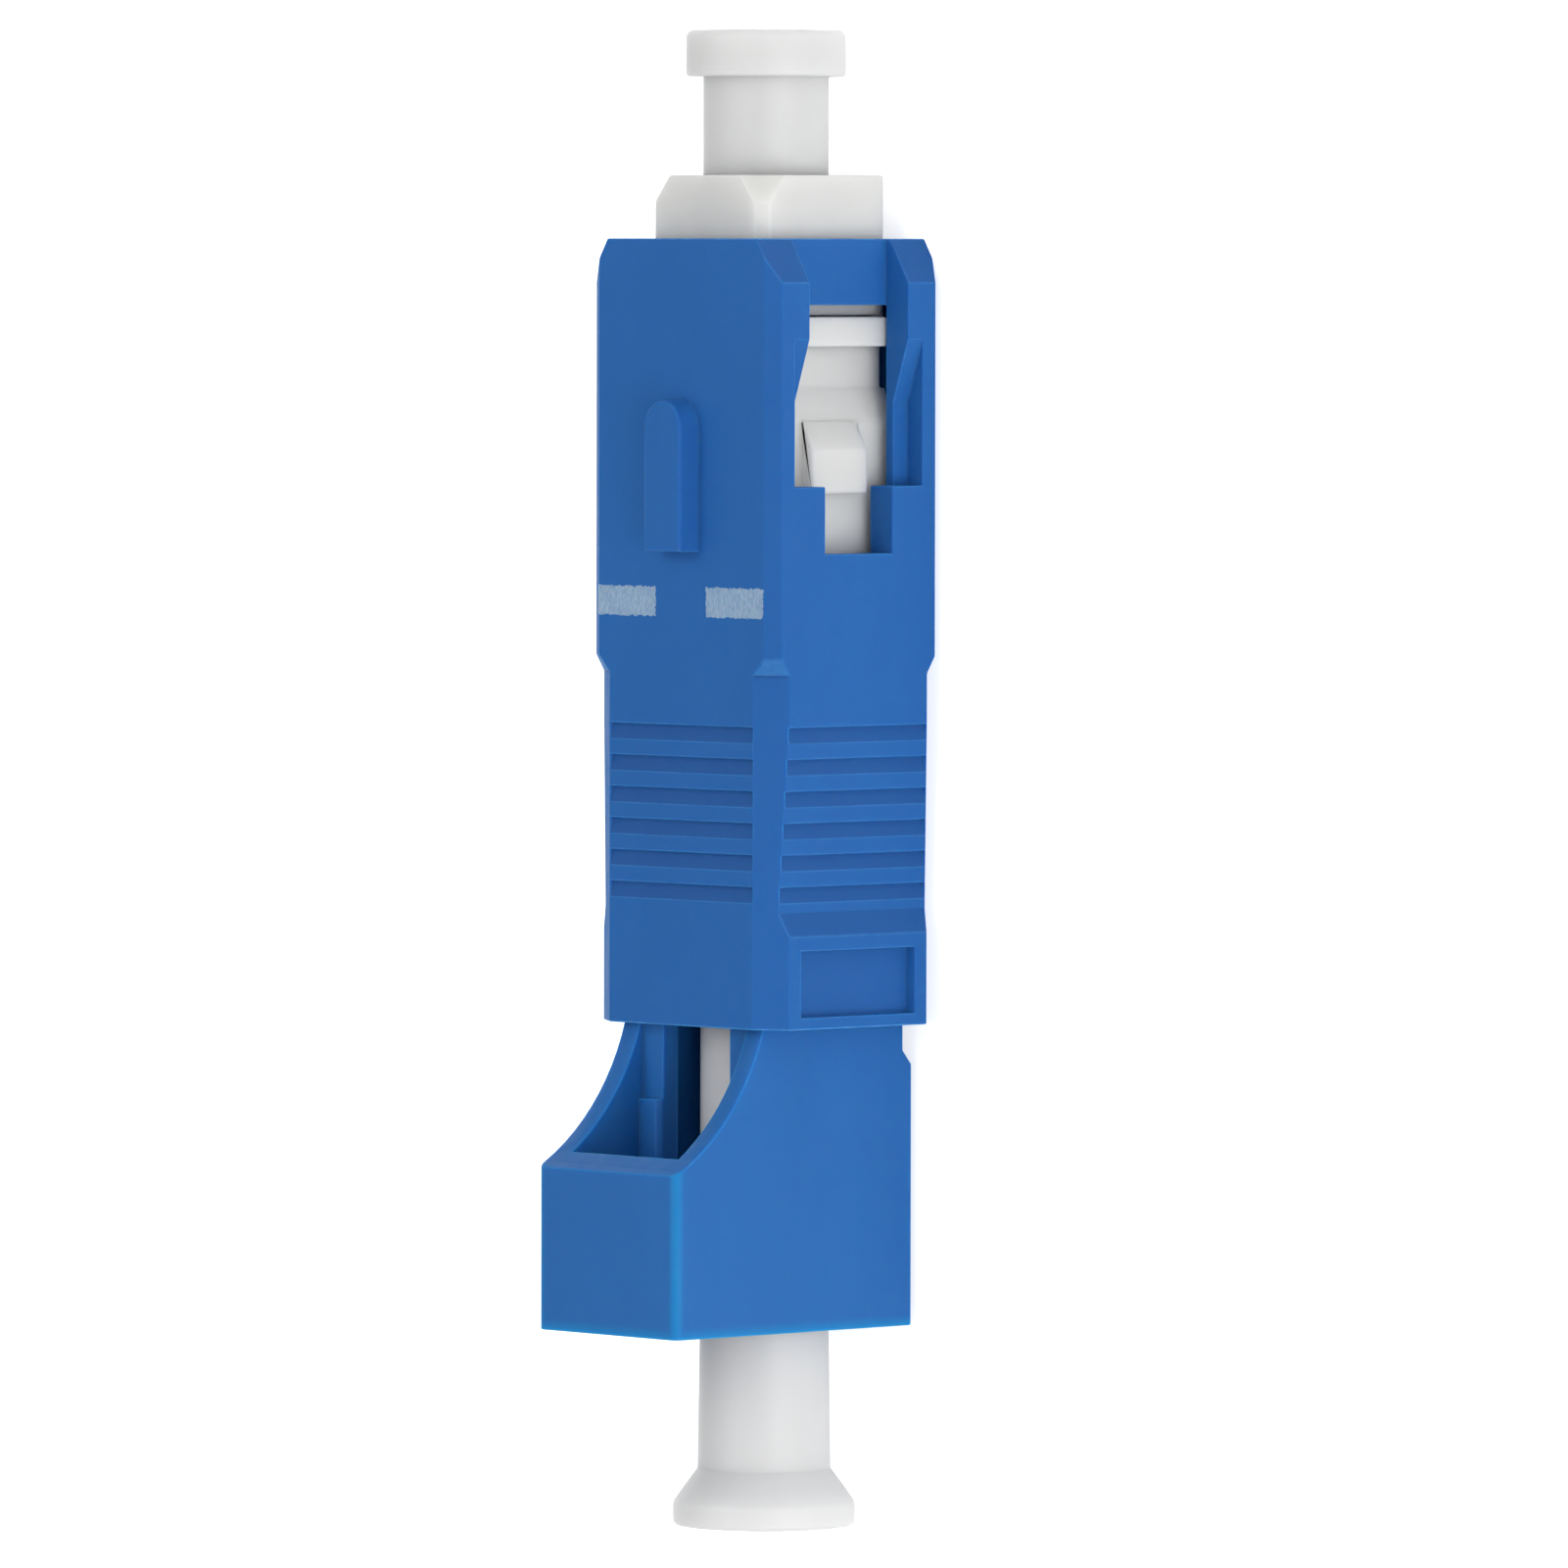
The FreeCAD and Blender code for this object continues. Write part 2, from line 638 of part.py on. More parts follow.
def split_sleeve():
    tube = ring(sleeve_rear, sleeve_front, sleeve_outer, sleeve_inner)
    half = split_sleeve_slot / 2
    return tube.cut(box(sleeve_rear - over, sleeve_front + over, -half, half, 0, sleeve_outer + over))


def sleeve_holder():
    """Flanged bush that keeps the split sleeve in the floor of the port."""
    r, flange = holder_diameter / 2, snout_bore_diameter / 2 - holder_flange_fit
    flange_front = floor_front + holder_flange_length
    pocket_end = sleeve_front + sleeve_end_gap
    return turned([(holder_front, lip_radius), (holder_front, r), (flange_front, r),
                   (flange_front, flange), (floor_front, flange), (floor_front, r),
                   (port_end, r), (port_end, sleeve_pocket), (pocket_end, sleeve_pocket),
                   (pocket_end, lip_radius)])


# Dust caps

def sc_dust_cap():
    flange, barrel = sc_cap_flange_diameter / 2, sc_cap_barrel_diameter / 2
    bore = sc_ferrule_diameter / 2 + sc_cap_fit
    under = sc_cap_end - sc_cap_flange_length
    tip = nose_front - sc_cap_inserted
    bore_end = sc_tip + sc_cap_tip_room
    top, low = sc_cap_top_round, sc_cap_under_round
    outline = [(sc_cap_end, 0)]
    outline += rounded((sc_cap_end, flange - top), (sc_cap_end - top, flange), (sc_cap_end, flange))
    outline += rounded((under + low, flange), (under, flange - low), (under, flange))
    outline += [(under, barrel), (tip, barrel), (tip, bore), (bore_end, bore), (bore_end, 0)]
    return turned(outline)


def lc_dust_cap():
    rim, cone, barrel = lc_cap_diameter / 2, lc_cap_cone_diameter / 2, lc_cap_barrel_diameter / 2
    collar = lc_cap_end + lc_cap_collar_length
    cone_end = collar - lc_cap_cone_run
    tip = port_end - lc_cap_tip_gap
    inner = lc_cap_inner_diameter / 2
    bore = boss_diameter / 2 + lc_cap_fit
    bore_end = boss_rear - lc_cap_bore_room
    low = lc_cap_end_round
    outline = [(tip, bore), (tip, inner), (mouth, inner), (collar, barrel)]
    outline += rounded((cone_end, cone), (cone_end - lc_cap_cone_round, rim), (cone_end - 0.2, rim))
    outline += rounded((lc_cap_end + low, rim), (lc_cap_end, rim - low), (lc_cap_end, rim))
    outline += [(lc_cap_end, 0), (bore_end, 0), (bore_end, bore)]
    return turned(outline)


# Placing and writing

def place(shape):
    """Lay the housing on z = 0 and centre the whole adapter on the origin."""
    placed = shape.copy()
    placed.translate(Vec(-(sc_cap_end + lc_cap_end) / 2, 0, housing_height / 2))
    return placed


PIECES = [sc_outer_housing, sc_plug_frame, sc_ferrule, ferrule_flange, lc_ferrule, fibre_stub,
          ferrule_spring, stop_ring, lc_socket_body, sleeve_holder, split_sleeve,
          sc_dust_cap, lc_dust_cap]

os.makedirs("parts", exist_ok=True)
for piece in PIECES:
    placed = place(piece())
    placed.exportStep(os.path.join("parts", piece.__name__ + ".step"))
    box_now = placed.BoundBox
    print(f"{piece.__name__}: {len(placed.Solids)} solid, {placed.Volume:.2f} mm3, "
          f"x {box_now.XMin:.2f} to {box_now.XMax:.2f}, valid {placed.isValid()}")
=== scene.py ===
# %% [markdown]
# # A capped SC to LC fibre adapter
#
# The adapter is a moulded SC plug whose tail is an LC socket, with a dust cap on each end. The
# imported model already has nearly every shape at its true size. This lesson dresses it: moulded
# edges get their small radii, each plastic, metal and ceramic gets a finish of its own, and the
# adapter lies on a pale floor in soft light, seen from the photograph's angle.

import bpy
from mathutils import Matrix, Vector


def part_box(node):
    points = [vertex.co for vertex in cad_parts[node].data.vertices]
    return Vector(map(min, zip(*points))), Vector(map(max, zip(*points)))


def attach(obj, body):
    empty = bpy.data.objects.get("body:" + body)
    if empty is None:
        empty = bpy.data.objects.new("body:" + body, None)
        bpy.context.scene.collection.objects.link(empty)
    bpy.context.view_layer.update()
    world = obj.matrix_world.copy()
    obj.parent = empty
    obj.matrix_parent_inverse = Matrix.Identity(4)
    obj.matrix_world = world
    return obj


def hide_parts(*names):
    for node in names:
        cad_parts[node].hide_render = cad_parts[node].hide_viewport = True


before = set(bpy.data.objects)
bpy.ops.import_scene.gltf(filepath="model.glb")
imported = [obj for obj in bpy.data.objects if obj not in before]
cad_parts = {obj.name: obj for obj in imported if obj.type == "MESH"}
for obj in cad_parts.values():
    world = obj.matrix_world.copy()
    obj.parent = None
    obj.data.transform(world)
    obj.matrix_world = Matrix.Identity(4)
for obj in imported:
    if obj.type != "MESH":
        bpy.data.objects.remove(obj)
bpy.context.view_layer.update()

import math

import bmesh
import bpy
from mathutils import Matrix, Vector

MM = 0.001                      # all sizes below are millimetres times this

# %% [markdown]
# ## Colours and nodes
#
# A colour is easiest to read as the hex value that a screen shows, but shader nodes work with
# linear light, so one function turns the first into the second. A second small function adds
# one node, sets it up and links it, which keeps every finish below short enough to read. A
# third starts a material, because each one here has the same shader, output and coordinates.

# %% Helpers for finishes
def colour(hex_text):
    """An sRGB colour such as "3062A8" as linear RGBA."""
    out = []
    for i in (0, 2, 4):
        c = int(hex_text[i:i + 2], 16) / 255
        out.append(c / 12.92 if c <= 0.04045 else ((c + 0.055) / 1.055) ** 2.4)
    return (*out, 1.0)


def add(tree, kind, settings=None, **sockets):
    """One shader node. A socket takes a value, a node or an output; a list fills namesakes."""
    node = tree.nodes.new("ShaderNode" + kind)
    for name, value in (settings or {}).items():
        setattr(node, name, value)
    for name, value in sockets.items():
        named = [s for s in node.inputs if s.enabled and s.name == name.replace("_", " ")]
        for socket, item in zip(named, value if isinstance(value, list) else [value]):
            if isinstance(item, bpy.types.Node):
                item = next(s for s in item.outputs if s.enabled)
            if isinstance(item, bpy.types.NodeSocket):
                tree.links.new(item, socket)
            else:
                socket.default_value = item
    return node


def new_finish(name, **sockets):
    """A material with a Principled shader: its tree, its shader and its Object coordinates."""
    material = bpy.data.materials.new(name)
    material.use_nodes = True
    tree = material.node_tree
    tree.nodes.clear()
    shader = add(tree, "BsdfPrincipled", **sockets)
    add(tree, "OutputMaterial", Surface=shader)
    place = add(tree, "TexCoord").outputs["Object"]
    return material, tree, shader, place


print("screen grey 808080 in linear light:", colour("808080"))

# %% [markdown]
# ## Blue PBT
#
# The housing and the socket are injection moulded PBT, a dense plastic that takes a satin skin
# from its mould. The eye reads three things: a colour that clouds a little along the flow of
# the melt, a fine grain that breaks up the sheen, and thin edges that glow because light passes
# through them. Clouds and grain are noise textures at their real size; the glow is a short
# subsurface depth together with a paler tint on the rounded edges, which is a painted highlight.
# Two attributes on the mesh say where a face gets that painted highlight, and where it is
# darkened, as painted shade and as the duller plastic left by steel roughened in spark erosion.
# A picture could say the same, but attributes stay sharp at any size.

# %% Blue PBT
CLOUD = 4.0 * MM                # patches of colour in a moulding
SHEEN = 0.6 * MM                # patches with more or less gloss
# the noise that breaks the painted edge highlight into an uneven line
HIGHLIGHT_BREAKS = 0.5 * MM                 # breaks along the pale edges
GRAIN = 0.07 * MM               # satin texture of the mould, drawn coarse enough to show
NOISE_SPAN = {"From_Min": 0.3, "From_Max": 0.7}     # nearly all of a noise lies in this span
BLUE_REACH = (0.12, 0.7, 1.0)   # the pigment lets blue light travel furthest and stops red
# painted shade and the duller colour of rough steel: a face keeps this much of its colour
SHADE_AND_EROSION_TINT = colour("FCE7EC")  # what a face from eroded steel keeps of its colour


def blue_pbt(name, light, dark, highlight_tint, depth, sheen_level):
    """Satin blue moulding: colour clouds, fine grain, glowing edges with a painted highlight,
    painted shade.
    """
    material, tree, shader, place = new_finish(
        name, Specular_IOR_Level=sheen_level, Subsurface_Weight=1.0, Subsurface_Scale=depth,
        Subsurface_Radius=BLUE_REACH)
    flow = add(tree, "Mapping", Vector=place, Scale=(0.4, 1, 1))
    cloud = add(tree, "TexNoise", Vector=flow, Scale=1 / CLOUD, Detail=4)
    spread = add(tree, "MapRange", Value=cloud, From_Min=0.35, From_Max=0.65)
    tint = add(tree, "Mix", {"data_type": "RGBA"}, Factor=spread,
               A=colour(dark), B=colour(light))
    # painted highlight: a paler tint on the rounded edges, broken up by noise
    edge = add(tree, "Attribute", {"attribute_name": "pale_edge"}).outputs["Fac"]
    wear = add(tree, "TexNoise", Vector=place, Scale=1 / HIGHLIGHT_BREAKS, Detail=3)
    uneven = add(tree, "MapRange", Value=wear, To_Min=0.35, **NOISE_SPAN)
    share = add(tree, "Math", {"operation": "MULTIPLY"}, Value=[edge, uneven])
    tint = add(tree, "Mix", {"data_type": "RGBA"}, Factor=share, A=tint, B=colour(highlight_tint))
    # painted shade on some faces, duller rough-steel colour on others: a per-face factor darkens
    # the colour
    eroded = add(tree, "Attribute", {"attribute_name": "eroded"}).outputs["Fac"]
    tint = add(tree, "Mix", {"data_type": "RGBA", "blend_type": "MULTIPLY"},
               Factor=eroded, A=tint, B=SHADE_AND_EROSION_TINT)
    tree.links.new(tint.outputs[2], shader.inputs["Base Color"])
    sheen = add(tree, "TexNoise", Vector=flow, Scale=1 / SHEEN, Detail=3)
    satin = add(tree, "MapRange", Value=sheen, To_Min=0.50, To_Max=0.60, **NOISE_SPAN)
    tree.links.new(satin.outputs["Result"], shader.inputs["Roughness"])
    grain = add(tree, "TexNoise", Vector=place, Scale=1 / GRAIN, Detail=2)
    bump = add(tree, "Bump", Strength=0.12, Distance=0.02 * MM, Height=grain)
    tree.links.new(bump.outputs["Normal"], shader.inputs["Normal"])
    return material, tree, shader, place


print("blue PBT: clouds", CLOUD / MM, "mm, sheen", SHEEN / MM, "mm, grain", GRAIN / MM, "mm")

# %% [markdown]
# ## Thin walls of the socket
#
# The walls of the LC port are about a millimetre thick. Along its long corners and at its mouth
# light gets in from two sides, so the plastic glows there in a greener blue. Real transmission
# would need far more samples to look smooth, and the glow fades within half a millimetre, so
# the finish looks at the distance to those edges instead.

# %% Blue PBT with glowing corners
GLOW = 0.42 * MM                # how far the glow reaches from an edge
FADE = {"interpolation_type": "SMOOTHSTEP"}
low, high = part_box("lc_socket_body")

# its third colour is the painted highlight on the edges
socket_blue, tree, shader, place = blue_pbt(
    "blue_pbt_socket", "2268AC", "2165A8", "2A86C0", 0.6 * MM, 0.2)
axes = add(tree, "SeparateXYZ", Vector=place)
side = add(tree, "Math", {"operation": "ABSOLUTE"}, Value=axes.outputs["Y"])
here = add(tree, "CombineXYZ", Y=side, Z=axes.outputs["Z"])
gap = add(tree, "VectorMath", {"operation": "DISTANCE"}, Vector=[here, (0, high.y, high.z)])
corner = add(tree, "MapRange", FADE, Value=gap,
             From_Min=0.05 * MM, From_Max=GLOW, To_Min=0.85, To_Max=0.0)
mouth = add(tree, "MapRange", FADE, Value=axes.outputs["X"],
            From_Min=low.x, From_Max=low.x + GLOW, To_Min=0.7, To_Max=0.0)
glow = add(tree, "Math", {"operation": "MAXIMUM"}, Value=[corner, mouth])
plastic = shader.inputs["Base Color"].links[0].from_socket
tint = add(tree, "Mix", {"data_type": "RGBA"}, Factor=glow, A=plastic, B=colour("1084BB"))
tree.links.new(tint.outputs[2], shader.inputs["Base Color"])
print("the glow follows the corner at", tuple(high), "and the mouth at", low.x)

# %% [markdown]
# ## Two printed marks
#
# The key face of the housing carries two pale bars, stamped in a thin ink that the grain of the
# plastic shows through. They could be separate flat pieces, but real ink has no thickness worth
# modelling, so the finish itself turns pale between four limits along and across the face. The
# limits waver a little, as the edge of a stamp does, and the ink is thinner in short strokes.

# %% Blue PBT with the printed marks
MARK_ALONG = (5.34 * MM, 6.29 * MM)                         # along the adapter
MARKS_ACROSS = [(-3.95 * MM, -1.22 * MM), (1.22 * MM, 4.12 * MM)]
KEY_FACE = 7.3 * MM                                         # only above this height
RAGGED = 0.11 * MM                                          # size of the wavering
WAVER = 0.04 * MM                                           # how far an edge wavers
INK_STROKE = 0.07 * MM                                      # thin places in the ink

# its third colour is the painted highlight on the edges
housing_blue, tree, shader, place = blue_pbt(
    "blue_pbt_housing", "2665A9", "2562A5", "4A8CC6", 0.22 * MM, 0.12)
ragged = add(tree, "TexNoise", Vector=place, Scale=1 / RAGGED, Detail=2)
shift = add(tree, "MapRange", Value=ragged, To_Min=-WAVER, To_Max=WAVER, **NOISE_SPAN)
axes = add(tree, "SeparateXYZ", Vector=place)
along = add(tree, "Math", {"operation": "ADD"}, Value=[axes.outputs["X"], shift])
across = add(tree, "Math", {"operation": "ADD"}, Value=[axes.outputs["Y"], shift])
printed = 0.0
for left, right in MARKS_ACROSS:
    mark = 1.0
    for test, value, limit in [("GREATER_THAN", across, left), ("LESS_THAN", across, right),
                               ("GREATER_THAN", along, MARK_ALONG[0]),
                               ("LESS_THAN", along, MARK_ALONG[1]),
                               ("GREATER_THAN", axes.outputs["Z"], KEY_FACE)]:
        inside = add(tree, "Math", {"operation": test}, Value=[value, limit])
        mark = add(tree, "Math", {"operation": "MULTIPLY"}, Value=[mark, inside])
    printed = add(tree, "Math", {"operation": "ADD"}, Value=[printed, mark])
strokes = add(tree, "Mapping", Vector=place, Scale=(0.4, 1, 1))
film = add(tree, "TexNoise", Vector=strokes, Scale=1 / INK_STROKE, Detail=3)
patchy = add(tree, "MapRange", Value=film, **NOISE_SPAN)
ink = add(tree, "Mix", {"data_type": "RGBA"}, Factor=patchy,
          A=colour("7895B6"), B=colour("9BB1C4"))
plastic = shader.inputs["Base Color"].links[0].from_socket
tint = add(tree, "Mix", {"data_type": "RGBA"}, Factor=printed, A=plastic, B=ink)
tree.links.new(tint.outputs[2], shader.inputs["Base Color"])
for left, right in MARKS_ACROSS:
    print(f"printed mark, {(right - left) / MM:.2f} mm across")

# %% [markdown]
# ## Uncoloured plastics
#
# The plug frame is the same PBT without pigment, and the dust caps are soft polyethylene. Light
# soaks deep into both, so their shadows are pale and their facets blur. That is what subsurface
# scattering does, and a plain white surface would look like paint next to it. The frame is
# denser than the caps, so its depth is smaller.

# %% Uncoloured PBT and polyethylene
MILKY_REACH = (1.0, 0.97, 0.93)     # nearly white, with a little less blue
MILKY_GRAIN = 0.11 * MM             # fine texture of the mould


def milky_plastic(name, light, dark, depth, rough):
    """Uncoloured moulding that light soaks into."""
    material, tree, shader, place = new_finish(
        name, Subsurface_Weight=1.0, Subsurface_Radius=MILKY_REACH, Subsurface_Scale=depth,
        Roughness=rough, Specular_IOR_Level=0.35)
    flow = add(tree, "Mapping", Vector=place, Scale=(0.45, 1, 1))
    cloud = add(tree, "TexNoise", Vector=flow, Scale=1 / CLOUD, Detail=3)
    spread = add(tree, "MapRange", Value=cloud, **NOISE_SPAN)
    tint = add(tree, "Mix", {"data_type": "RGBA"}, Factor=spread,
               A=colour(dark), B=colour(light))
    tree.links.new(tint.outputs[2], shader.inputs["Base Color"])
    grain = add(tree, "TexNoise", Vector=place, Scale=1 / MILKY_GRAIN, Detail=2)
    bump = add(tree, "Bump", Strength=0.08, Distance=0.02 * MM, Height=grain)
    tree.links.new(bump.outputs["Normal"], shader.inputs["Normal"])
    return material


frame_white = milky_plastic("uncoloured_pbt", "D4D4D1", "D0D0CD", 1.6 * MM, 0.42)
cap_plastic = milky_plastic("milky_polyethylene", "CFCFCF", "CACACA", 2.4 * MM, 0.45)
print("uncoloured plastics:", frame_white.name, "and", cap_plastic.name)

# %% [markdown]
# ## Metals
#
# These pieces sit inside and only show when a cap is off. The flange, the stop ring and the
# sleeve holder are turned brass with a nickel plate, and the spring is drawn steel. A lathe and
# a drawing die both leave fine rings. They could be cut into the mesh, but at a few hundredths
# of a millimetre a noise that is stretched across the axis does the same in gloss and bump.

# %% Turned and drawn metal
RINGS = 0.035 * MM              # spacing of the rings


def turned_metal(name, tint, rough):
    """Bright metal with fine rings left by the lathe or the drawing die."""
    material, tree, shader, place = new_finish(name, Base_Color=colour(tint), Metallic=1.0)
    lathe = add(tree, "Mapping", Vector=place, Scale=(1, 0.01, 0.01))
    rings = add(tree, "TexNoise", Vector=lathe, Scale=1 / RINGS, Detail=2)
    satin = add(tree, "MapRange", Value=rings, To_Min=rough, To_Max=rough + 0.12, **NOISE_SPAN)
    tree.links.new(satin.outputs["Result"], shader.inputs["Roughness"])
    bump = add(tree, "Bump", Strength=0.15, Distance=0.01 * MM, Height=rings)
    tree.links.new(bump.outputs["Normal"], shader.inputs["Normal"])
    return material


nickel_plate = turned_metal("nickel_plated_brass", "C9C0AE", 0.22)
spring_steel = turned_metal("drawn_spring_steel", "B9BBBD", 0.25)
print("metals:", nickel_plate.name, "and", spring_steel.name)

# %% [markdown]
# ## Ceramic and glass
#
# Ferrules and split sleeve are polished zirconia, a dense white ceramic with a hard gloss and
# faint clouds from its sintering. The stub between the ferrules is bare glass fibre, clear but
# for the streaks of its drawing. Both show so little of themselves that one noise each is
# enough.

# %% Zirconia and glass fibre
SINTER_CLOUD = 0.4 * MM
STREAK = 0.05 * MM

zirconia, tree, shader, place = new_finish(
    "polished_zirconia", Roughness=0.12, Subsurface_Weight=0.2, Subsurface_Scale=0.3 * MM)
cloud = add(tree, "TexNoise", Vector=place, Scale=1 / SINTER_CLOUD, Detail=2)
tint = add(tree, "Mix", {"data_type": "RGBA"}, Factor=cloud,
           A=colour("E2DFD6"), B=colour("EDEBE4"))
tree.links.new(tint.outputs[2], shader.inputs["Base Color"])

glass_fibre, tree, shader, place = new_finish(
    "bare_glass_fibre", Roughness=0.05, Transmission_Weight=0.6)
streak = add(tree, "TexNoise", Vector=place, Scale=1 / STREAK, Detail=1)
tint = add(tree, "Mix", {"data_type": "RGBA"}, Factor=streak,
           A=colour("DDE8EA"), B=colour("F2F6F6"))
tree.links.new(tint.outputs[2], shader.inputs["Base Color"])
print("ceramic and glass:", zirconia.name, "and", glass_fibre.name)

# %% [markdown]
# ## Moulded edges
#
# The imported meshes have knife-sharp edges, while a moulding always has a small radius there,
# and that radius is what catches the light. A Bevel modifier would round every facet of the
# curved parts too. So a copy of the mesh first has its flat facets joined, and only edges that
# turn by more than a curved wall's facets do are bevelled. The new outer rounds are marked with
# the attribute for the painted highlight that the blue plastic reads, and weighted normals keep
# the flat faces flat.

# %% Helpers for rounding a moulding
WELD = 0.002 * MM               # corners closer than this are one
FLAT = math.radians(1)          # facets that turn by less than this are one face
CORNER = math.radians(13)       # curved walls turn by 10 degrees or less from facet to facet


def dress(obj, material):
    """Give an object one material and no other."""
    obj.data.materials.clear()
    obj.data.materials.append(material)


def finished(name, bm, body, material, replaced):
    """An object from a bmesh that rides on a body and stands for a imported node."""
    mesh = bpy.data.meshes.new(name)
    bm.to_mesh(mesh)
    bm.free()
    mesh.shade_smooth()
    obj = bpy.data.objects.new(name, mesh)
    bpy.context.scene.collection.objects.link(obj)
    dress(obj, material)
    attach(obj, body)
    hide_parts(replaced)
    print(name, "has", len(mesh.polygons), "faces")
    return obj


def softened(node, body, material, radius, reshape=None, tones=None):
    """A copy of a packed moulding with its facets joined and its corners rounded."""
    bm = bmesh.new()
    bm.from_mesh(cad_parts[node].data)
    # per face: painted highlight, and painted shade with the duller colour of rough steel
    pale = bm.faces.layers.float.new("pale_edge")
    eroded = bm.faces.layers.float.new("eroded")
    bmesh.ops.remove_doubles(bm, verts=bm.verts, dist=WELD)
    bmesh.ops.dissolve_limit(bm, angle_limit=FLAT, verts=bm.verts, edges=bm.edges)
    if reshape:
        reshape(bm)
    corners = [e for e in bm.edges if e.is_manifold and e.calc_face_angle() > CORNER]
    rounds = bmesh.ops.bevel(bm, geom=corners, offset=radius, offset_type="OFFSET", segments=2,
                             profile=0.5, affect="EDGES", material=-1, clamp_overlap=False)
    bm.normal_update()
    if tones:
        for face in bm.faces:
            face[pale], face[eroded] = tones(face)
    # painted highlight: rounds at the two ends of a piece get the full pale tint, rounds that run
    # across it a third
    rear = min(v.co.x for v in bm.verts) + 2 * radius
    front = max(v.co.x for v in bm.verts) - 2 * radius
    for face in rounds["faces"]:
        outer = sum(e.calc_length() * e.calc_face_angle_signed(0) for e in face.edges) > 0
        x = face.calc_center_median().x
        if outer and (x < rear or x > front):
            face[pale] = 1.0                    # rims at the two ends of the piece
        elif outer and abs(face.normal.x) > 0.1:
            face[pale] = 0.3                    # edges that run across the piece
    obj = finished(node + "_moulding", bm, body, material, node)
    normals = obj.modifiers.new("flat_faces_stay_flat", "WEIGHTED_NORMAL")
    normals.keep_sharp = True
    normals.weight = 100


print(f"edges that turn by more than {math.degrees(CORNER):.0f} degrees get a radius")

# %% [markdown]
# ## Grip of the housing
#
# Fingers pull the housing by six ramped grooves on each face, in front of a flare that stops
# them from slipping off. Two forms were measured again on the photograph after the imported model
# was finished: the flare ends a third of a millimetre sooner, and the grooves end in square
# steps at the corner cuts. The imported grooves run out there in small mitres. Cutting the
# grooves afresh would be a long way round, so four corners move, and each mitre is split off
# the corner cut and stood up as a small wall.

# %% Helper that reshapes the grip
FLARE_END = (-5.25 * MM, 4.5 * MM)      # x, and y on both sides, of the flare's four corners
FLARE_SHIFT = 0.33 * MM
NEAR = 0.02 * MM
RAMP = (0.25, 0.4)                      # a groove's floor leans forward: x of its normal
SLANTED = 0.3                           # a corner cut faces this much in y and in z
LONG_CUT = 10 * MM ** 2                 # area that only the long corner cuts have


def reshape_grip(bm):
    """End the flare sooner and stand a wall at each end of the grip grooves."""
    flare = [v for v in bm.verts if abs(v.co.x - FLARE_END[0]) < NEAR
             and abs(abs(v.co.y) - FLARE_END[1]) < NEAR]
    for vert in flare:
        vert.co.x += FLARE_SHIFT
    mitres = []
    for cut in bm.faces:
        if min(abs(cut.normal.y), abs(cut.normal.z)) < SLANTED or cut.calc_area() < LONG_CUT:
            continue
        ring = list(cut.verts)
        for before, deep, after in zip(ring[-1:] + ring[:-1], ring, ring[1:] + ring[:1]):
            floors = [f for f in deep.link_faces if RAMP[0] < f.normal.x < RAMP[1]]
            for wall, shallow in [(before, after), (after, before)]:
                if floors and abs(wall.co.x - deep.co.x) < NEAR:
                    mitres.append((deep, wall, shallow, floors[0].normal.copy()))
    for deep, wall, shallow, normal in mitres:
        cut = next(f for f in deep.link_faces if wall in f.verts and shallow in f.verts)
        bmesh.utils.face_split(cut, wall, shallow)
        if abs(normal.z) > abs(normal.y):
            deep.co.y = wall.co.y
        else:
            deep.co.z = wall.co.z
    bm.normal_update()
    print("flare corners moved:", len(flare), "- square ends of grooves:", len(mitres))


# %% [markdown]
# ## Tones of the housing
#
# The mould for the housing was not polished all over: the floors of the grooves and of the
# recessed panel come from rougher steel and look duller. Shade and light are painted here too:
# the groove floors are also darkened as painted shade, the flare and the facets at the front get
# painted shade, the crease where the corner cuts get wider is a painted dark line, and the short
# slope in front of it gets a painted highlight. Painting masks by hand would work too, but each
# of these places has its own position and direction, so one function tells them apart.

# %% Helper that tones the housing
GROOVES = (-4.0, 2.0)                   # places along the axis, in millimetres
PANEL = (-7.7, -5.3)
PANEL_FLOOR = (3.9, 4.3)                # distance of the panel's floor from the axis
FLARE = (-5.4, -4.0)
FRONT = 14.0
CREASE = 3.47
SLOPE = (3.4, 4.1)


def housing_tones(face):
    """How much painted highlight, and how much painted shade or duller colour from rough steel, a
    face of the housing gets.
    """
    x, y, _ = face.calc_center_median() / MM
    forward, sideways, upward = face.normal
    # painted shade on the groove floors, together with the duller colour of rough steel
    if GROOVES[0] < x < GROOVES[1] and RAMP[0] < forward < RAMP[1]:
        return 0.0, 1.0                         # sloping floors of the grip grooves
    if PANEL[0] < x < PANEL[1] and PANEL_FLOOR[0] < abs(y) < PANEL_FLOOR[1] \
            and abs(sideways) > 0.9:
        return 0.0, 0.4                         # floor of the recessed panel
    # painted shade on the front facets and the flare
    if 0.2 < forward < 0.6 and (x > FRONT or FLARE[0] < x < FLARE[1]):
        return 0.0, 0.8                         # facets at the front, flare at the rear
    # a painted dark crease, and a painted highlight on the slope in front of it
    if min(abs(sideways), abs(upward)) > SLANTED:
        if abs(x - CREASE) < 0.05:
            return 0.0, 1.0                     # crease where the corner cuts get wider
        if SLOPE[0] < x < SLOPE[1]:
            return 0.6, 0.0                     # slope in front of that crease
    return 0.0, 0.0


# %% [markdown]
# ## The three big mouldings
#
# The frame has the largest radii, because its uncoloured plastic shows soft facets. The housing
# has the smallest, as its edges are thin bright lines on the photograph.

